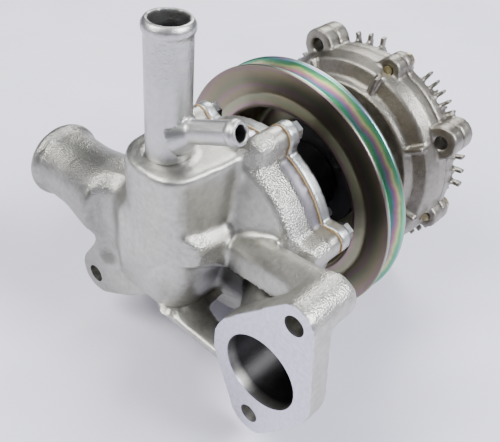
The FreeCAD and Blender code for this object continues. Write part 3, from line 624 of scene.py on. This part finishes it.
def housing_shape(p):
    """Sculpted forms first, then the cutter's work: round bores, flat faces, crisp hole rims,
    and the low collar round the pipe's seat."""
    p = sculpted(p)
    for name in FLANGE_HOLES:
        p = snapped_to_cylinder(p, mount_place(name), SHAFT, mount_radius(name),
                                (-20 * MM, 20 * MM), 0.8 * MM)
    p = snapped_to_cylinder(p, PIPE, UP, PIPE_SEAT_R, (-75 * MM, 0.0), 1.0 * MM)
    p[:, 0] = np.where((p[:, 0] < 0.7 * MM) & (p[:, 1] < FLANGE_Y), 0.0, p[:, 0])
    p[:, 0] = np.where(p[:, 0] > JOINT_X - 0.6 * MM, JOINT_X, p[:, 0])
    for name in FLANGE_HOLES:
        p = snapped_to_rim(p, mount_place(name), mount_radius(name), 0.0, 0.75 * MM)
    collar = band(radius_from(p, PIPE, UP), 0, COLLAR_R, 1.8 * MM)
    on_top = band(p[:, 2], DRUM_TOP - 0.8 * MM, DRUM_TOP + 1.5 * MM, 0.8 * MM)
    p[:, 2] += 0.5 * MM * collar * on_top
    return p


def housing_skin(p):
    """Coarse skin on casing band, upper boss, neck and strut root; flat machined faces; painted
    shade in the port, the pocket and, lighter, on the neck; elsewhere long shallow waves and a
    faint grain."""
    x, y, z = p.T
    shaft_r = np.hypot(y, z)
    casing = band(x, *CASING_X, 1.5 * MM) * (shaft_r > CASING_R) * (z > CASING_BOTTOM)
    boss_r = radius_from(p, mount_place("upper_bolt_hole"), SHAFT)
    boss = band(boss_r, 8 * MM, 14 * MM, 2 * MM) * (x > 2 * MM)
    on_neck = band(y, *NECK_Y, 12 * MM)
    neck = band(radius_from(p, NECK, ALONG_NECK), 15 * MM, 24 * MM, 2 * MM) * on_neck
    root = band(np.linalg.norm(p - STRUT_ROOT, axis=1), 0, 9 * MM, 5 * MM)
    rough = np.maximum.reduce([casing, 0.6 * boss, 0.8 * neck, 0.7 * root])
    rough = np.where(x < 0.2 * MM, 0, rough)

    strip = (shaft_r < STRIP_R + 0.5 * MM) & (x > CASING_X[1] - 0.2 * MM)
    faces = ((x < 0.25 * MM) & (y < FLANGE_Y)) | (x > JOINT_X - 0.2 * MM)
    machined = np.maximum(faces, strip * 0.8)

    coarse = lattice_noise(p, 1.6 * MM, 7) + 0.6 * lattice_noise(p, 0.9 * MM, 8)
    wave = lattice_noise(p, 14 * MM, 9) + 0.5 * lattice_noise(p, 6 * MM, 10)
    lift = (0.05 * rough * coarse + 0.12 * wave * (1 - machined)
            + 0.02 * coarse * (1 - machined)) * MM
    bore = (radius_from(p, PIPE, UP) < PIPE_SEAT_R + 0.4 * MM) & (z > 30 * MM)
    lift = np.where((x < 0.3 * MM) | bore, 0, lift)

    # painted shade: the port darker the deeper it goes, the pocket near-black, the neck somewhat
    # darker, where shade falls
    port_r = radius_from(p, mount_place("outlet_port"), SHAFT)
    port_shade = (port_r < mount_radius("outlet_port") + 0.4 * MM) & (x > 0.2 * MM)
    port_shade = port_shade * np.clip((x - 0.5 * MM) / (5 * MM), 0, 0.96)
    pocket_shade = np.clip(1.9 - np.linalg.norm((p - SHADED_HOLLOW) / SHADED_HOLLOW_SIZE, axis=1), 0, 1)
    stain = np.maximum.reduce([port_shade, 0.3 * on_neck, 0.9 * pocket_shade])
    return lift, {"rough": rough, "stain": stain, "machined": machined}


casting("rear_housing", "cast_rear_housing", MATERIALS["housing"], "housing",
        1.0, 60, housing_skin, housing_weight, housing_shape)


# ---- other castings -----------------------------------------------------------------------
def grained(p, grain, wave, seed):
    """Lift of a skin: a fine grain plus a long wave, each given as (height, cell) in
    millimetres and made from lattice noise."""
    return (grain[0] * lattice_noise(p, grain[1] * MM, seed)
            + wave[0] * lattice_noise(p, wave[1] * MM, seed + 1)) * MM


def coupling_skin(p):
    """Even cast skin with no machined face of its own in view."""
    lift = grained(p, (0.03, 1.3), (0.06, 9), 21)
    return lift, {"rough": np.full(len(p), 0.35), "machined": np.zeros(len(p))}


NIPPLE, NIPPLE_WAY = mount_place("side_nipple"), np.array(MOUNTS["side_nipple"]["axis"], float)
PIPE_R, PIPE_BORE_R = 9.5 * MM, 7.9 * MM
NIPPLE_R, NIPPLE_BORE_R, NIPPLE_LENGTH = 4.9 * MM, 3.5 * MM, 22 * MM


def pipe_weight(points):
    """Little relaxing at the two beads."""
    weight = np.where(points[:, 2] > 98 * MM, 0.3, 1.0)
    weight[np.linalg.norm(points - NIPPLE, axis=1) < 9 * MM] = 0.3
    return weight


def pipe_shape(p):
    """Round pipe and, clear of it, round nipple."""
    p = snapped_to_cylinder(p, PIPE, UP, PIPE_R, (-90 * MM, -3.5 * MM), 0.4 * MM)
    on_nipple = snapped_to_cylinder(p, NIPPLE, NIPPLE_WAY, NIPPLE_R, (-18 * MM, -1.5 * MM),
                                    0.3 * MM)
    beside = radius_from(p, PIPE, UP) > PIPE_R + 2 * MM
    return np.where(beside[:, None], on_nipple, p)


def pipe_skin(p):
    """Smooth, apart from a coarse band just under the bead; painted shade in the bores, darker
    further down.
    """
    pipe_r = radius_from(p, PIPE, UP)
    below_bead = band(p[:, 2], 84 * MM, 99 * MM, 6 * MM) * (pipe_r < 11 * MM)
    lift = grained(p, (0.05 * below_bead, 1.2), (0.03, 8), 31)
    # painted shade: the pipe's bore near-black, darker further down, the nipple's bore half as
    # dark
    nipple_bore = ((radius_from(p, NIPPLE, NIPPLE_WAY) < NIPPLE_BORE_R)
                   & ((p - NIPPLE) @ NIPPLE_WAY > -NIPPLE_LENGTH))
    inside = np.maximum(pipe_r < PIPE_BORE_R, 0.5 * nipple_bore)
    depth = np.clip((102 * MM - p[:, 2]) / (5 * MM), 0.25, 1)
    return lift, {"rough": 0.8 * below_bead, "stain": inside * depth,
                  "machined": np.zeros(len(p))}


PLATE_FRONT, TOWER_R = 65.0 * MM, 43 * MM


def cover_skin(p):
    """Flat cover plate in bare metal; the tower in front of it gets painted shade, near-black and
    not metal.
    """
    # painted shade on the tower in front of the plate, near-black and not metal
    tower_shade = np.clip((p[:, 0] - PLATE_FRONT - 0.4 * MM) / (0.8 * MM), 0, 1)
    on_tower = (p[:, 0] > PLATE_FRONT - 0.6 * MM) * (np.hypot(p[:, 1], p[:, 2]) < TOWER_R)
    lift = grained(p, (0.02, 1.3), (0.04, 9), 41)
    return lift, {"rough": np.full(len(p), 0.2), "enamel": np.maximum(tower_shade, on_tower),
                  "machined": np.zeros(len(p))}


casting("heater_pipe", "upright_pipe", MATERIALS["pipe"], "housing", 0.6, 8,
        pipe_skin, pipe_weight, pipe_shape)
casting("bearing_housing", "front_cover", MATERIALS["front_cover"], "housing",
        0.9, 5, cover_skin)
casting("coupling_case", "coupling_rear_case", MATERIALS["coupling"],
        "coupling", 0.8, 5, coupling_skin)
casting("coupling_cover", "coupling_front_cover", MATERIALS["coupling"],
        "coupling", 0.9, 5, coupling_skin)


# ---- pulley -------------------------------------------------------------------------------
PULLEY_SEGMENTS, CORNER_STEPS = 160, 5
GROOVE_CORNERS = (1, 5)              # corners from rim to rim, by way of the groove's floor


def pulley_outline():
    """Section of the pulley as (x, radius, corner radius) corners in millimetres."""
    rear, front, rim, floor, cup = 80.0, 94.5, 65.0, 51.5, 43.0
    web_front, web_back, bore = 110.5, 108.0, 8.1
    return [(rear, rim, 0.8), (rear + 2.2, rim, 0.8), (rear + 5.6, floor, 1.2),
            (front - 5.6, floor, 1.2), (front - 2.2, rim, 0.8), (front, rim, 0.8),
            (front - 3.5, floor - 0.9, 1.5), (front - 2.0, cup + 3.4, 1.5),
            (front, cup + 2.2, 1.0), (106.5, cup + 0.9, 2.0), (web_front, cup - 2.0, 3.0),
            (web_front, bore, 0.4), (web_back, bore, 0.4), (web_back, cup - 3.0, 2.0),
            (105.5, cup - 1.0, 2.0), (rear + 3.5, cup, 1.2), (rear + 1.5, cup + 1.6, 1.4),
            (rear + 3.5, floor - 0.9, 1.2)]


def pulley():
    """The section turned about the shaft, with its groove marked for the thicker film."""
    vertices, faces = turned_about_shaft(rounded_outline(pulley_outline(), CORNER_STEPS),
                                         PULLEY_SEGMENTS)
    mesh = bpy.data.meshes.new("belt_pulley")
    mesh.from_pydata(vertices.tolist(), [], faces.tolist())
    finished(mesh, MATERIALS["yellow_zinc"])
    edited(mesh, lambda work: bmesh.ops.recalc_face_normals(work, faces=work.faces))
    corner = np.arange(len(vertices)) // (PULLEY_SEGMENTS * (CORNER_STEPS + 1))
    write_attribute(mesh, "groove", (corner >= GROOVE_CORNERS[0]) & (corner < GROOVE_CORNERS[1]))
    return placed("belt_pulley", mesh, "rotor", "pulley")


pulley()


# ---- screws, nuts, gasket and inner pieces ------------------------------------------------
def bevelled_node(node, name, material, body, width_mm):
    """CAD node with its edges broken by a small two-step bevel."""
    mesh = finished(merged_copy(node, name), MATERIALS[material])
    piece = placed(name, mesh, body, node)
    bevel = piece.modifiers.new("broken_edges", "BEVEL")
    bevel.width = width_mm * MM
    bevel.segments = 2
    bevel.limit_method = "ANGLE"
    bevel.angle_limit = math.radians(35)
    piece.modifiers.new("flat_faces", "WEIGHTED_NORMAL")
    return piece


bevelled_node("cover_screws", "cover_screw_set", "bright_zinc", "housing", 0.3)
bevelled_node("cover_gasket", "fibre_gasket", "gasket", "housing", 0.05)
bevelled_node("case_screws", "case_screw_set", "brass_screw", "coupling", 0.35)
bevelled_node("hub_nuts", "hub_nut_set", "yellow_zinc", "rotor", 0.4)

NODE_MATERIALS = {
    "steel": ("bearing_outer_ring", "seal_spring", "pump_shaft", "rear_balls", "front_balls",
              "drive_shaft", "coupling_inner_ring", "coupling_outer_ring", "coupling_balls"),
    "bright_zinc": ("rear_cage", "front_cage", "hub_studs", "coupling_cage", "divider_plate",
                    "valve_arm", "valve_spindle", "coil_bracket"),
    "rubber": ("bearing_seals", "seal_bellows", "mating_ring_cup", "cover_seal_ring"),
    "seal_brass": ("seal_cup",),
    "carbon": ("carbon_ring",),
    "ceramic": ("mating_ring",),
    "cast_iron": ("impeller",),
    # the hub in near-black, as painted shade inside the pulley's cup
    "painted_shade_black": ("pulley_hub",),
    "coupling": ("drive_disc",),
    "bimetal": ("bimetal_coil",),
}
for material, nodes in NODE_MATERIALS.items():
    for node in nodes:
        mesh = frame["nodes"][node].data
        mesh.materials.clear()
        mesh.materials.append(MATERIALS[material])


# ---- floor, light and camera --------------------------------------------------------------
MIDDLE = (0.06, 0.0, 0.0)            # of the pump, where the lamps point


def floor_material():
    """Matt white cloth: a pale lilac white with very faint clouding."""
    cloud_mm = 120
    material, tree, shader, mm = start("pale_floor", Roughness=0.9, Specular_IOR_Level=0.2)
    cloud = add(tree, "ShaderNodeTexNoise", {"Vector": mm, "Scale": 1 / cloud_mm, "Detail": 2.0})
    tone = add(tree, "ShaderNodeValToRGB", {"Fac": cloud.outputs["Fac"]},
               stops=[(0.3, "#E0DFEC"), (0.7, "#EBEAF5")])
    finish_surface(tree, shader, tone.outputs["Color"])
    return material


def floor():
    """Flat floor just under the lowest point of the pump."""
    half_size, ground = 3.0, CAD_LOW.z - 0.5 * MM
    corners = [(-1, -1), (1, -1), (1, 1), (-1, 1)]
    mesh = bpy.data.meshes.new("floor")
    mesh.from_pydata([(x * half_size, y * half_size, ground) for x, y in corners], [],
                     [(0, 1, 2, 3)])
    mesh.materials.append(floor_material())
    linked("floor", mesh)


def area_light(name, place, size, power, colour):
    """Rectangular lamp that points at the middle of the pump."""
    data = bpy.data.lights.new(name, "AREA")
    data.shape = "RECTANGLE"
    data.size, data.size_y = size
    data.energy = power
    data.color = linear(colour)[:3]
    lamp = linked(name, data)
    lamp.location = place
    lamp.rotation_mode = "QUATERNION"
    lamp.rotation_quaternion = (Vector(place) - Vector(MIDDLE)).to_track_quat("Z", "Y")


def sky():
    """Dim room: pale overhead, greyer towards the floor."""
    strength = 0.6
    world = bpy.data.worlds.new("studio")
    world.use_nodes = True
    tree = world.node_tree
    back = tree.nodes["Background"]
    way = add(tree, "ShaderNodeTexCoord").outputs["Generated"]
    parts = add(tree, "ShaderNodeSeparateXYZ", {"Vector": way})
    height = add(tree, "ShaderNodeMapRange", {"Value": parts.outputs["Z"], "From Min": -0.2,
                                              "From Max": 0.9})
    tone = add(tree, "ShaderNodeValToRGB", {"Fac": height.outputs["Result"]},
               stops=[(0.0, "#4A4A50"), (0.45, "#7C7D86"), (1.0, "#DDE1EA")])
    tree.links.new(tone.outputs["Color"], back.inputs["Color"])
    back.inputs["Strength"].default_value = strength
    bpy.context.scene.world = world


def camera():
    """Camera above and behind the mounting flange, rolled a few degrees."""
    place = (-0.14067, -0.16543, 0.20731)
    forward = Vector((0.59625, 0.48951, -0.63629)).normalized()
    right = Vector((0.67994, -0.72931, 0.07609)).normalized()
    data = bpy.data.cameras.new("camera")
    data.sensor_width, data.lens = 36.0, 49.75
    data.clip_start, data.clip_end = 0.01, 20.0
    piece = linked("camera", data)
    turn = Matrix((right, right.cross(forward), -forward)).transposed()
    piece.matrix_world = Matrix.Translation(place) @ turn.to_4x4()
    bpy.context.scene.camera = piece


floor()
area_light("window", (0.45, -0.95, 1.0), (0.55, 0.55), 34, "#F7F8FF")
area_light("top_window", (-0.75, 0.45, 1.1), (0.5, 0.9), 26, "#FFFFFF")
area_light("back_glow", (1.0, 0.5, 0.9), (0.6, 0.6), 14, "#FFFFFF")
sky()
camera()
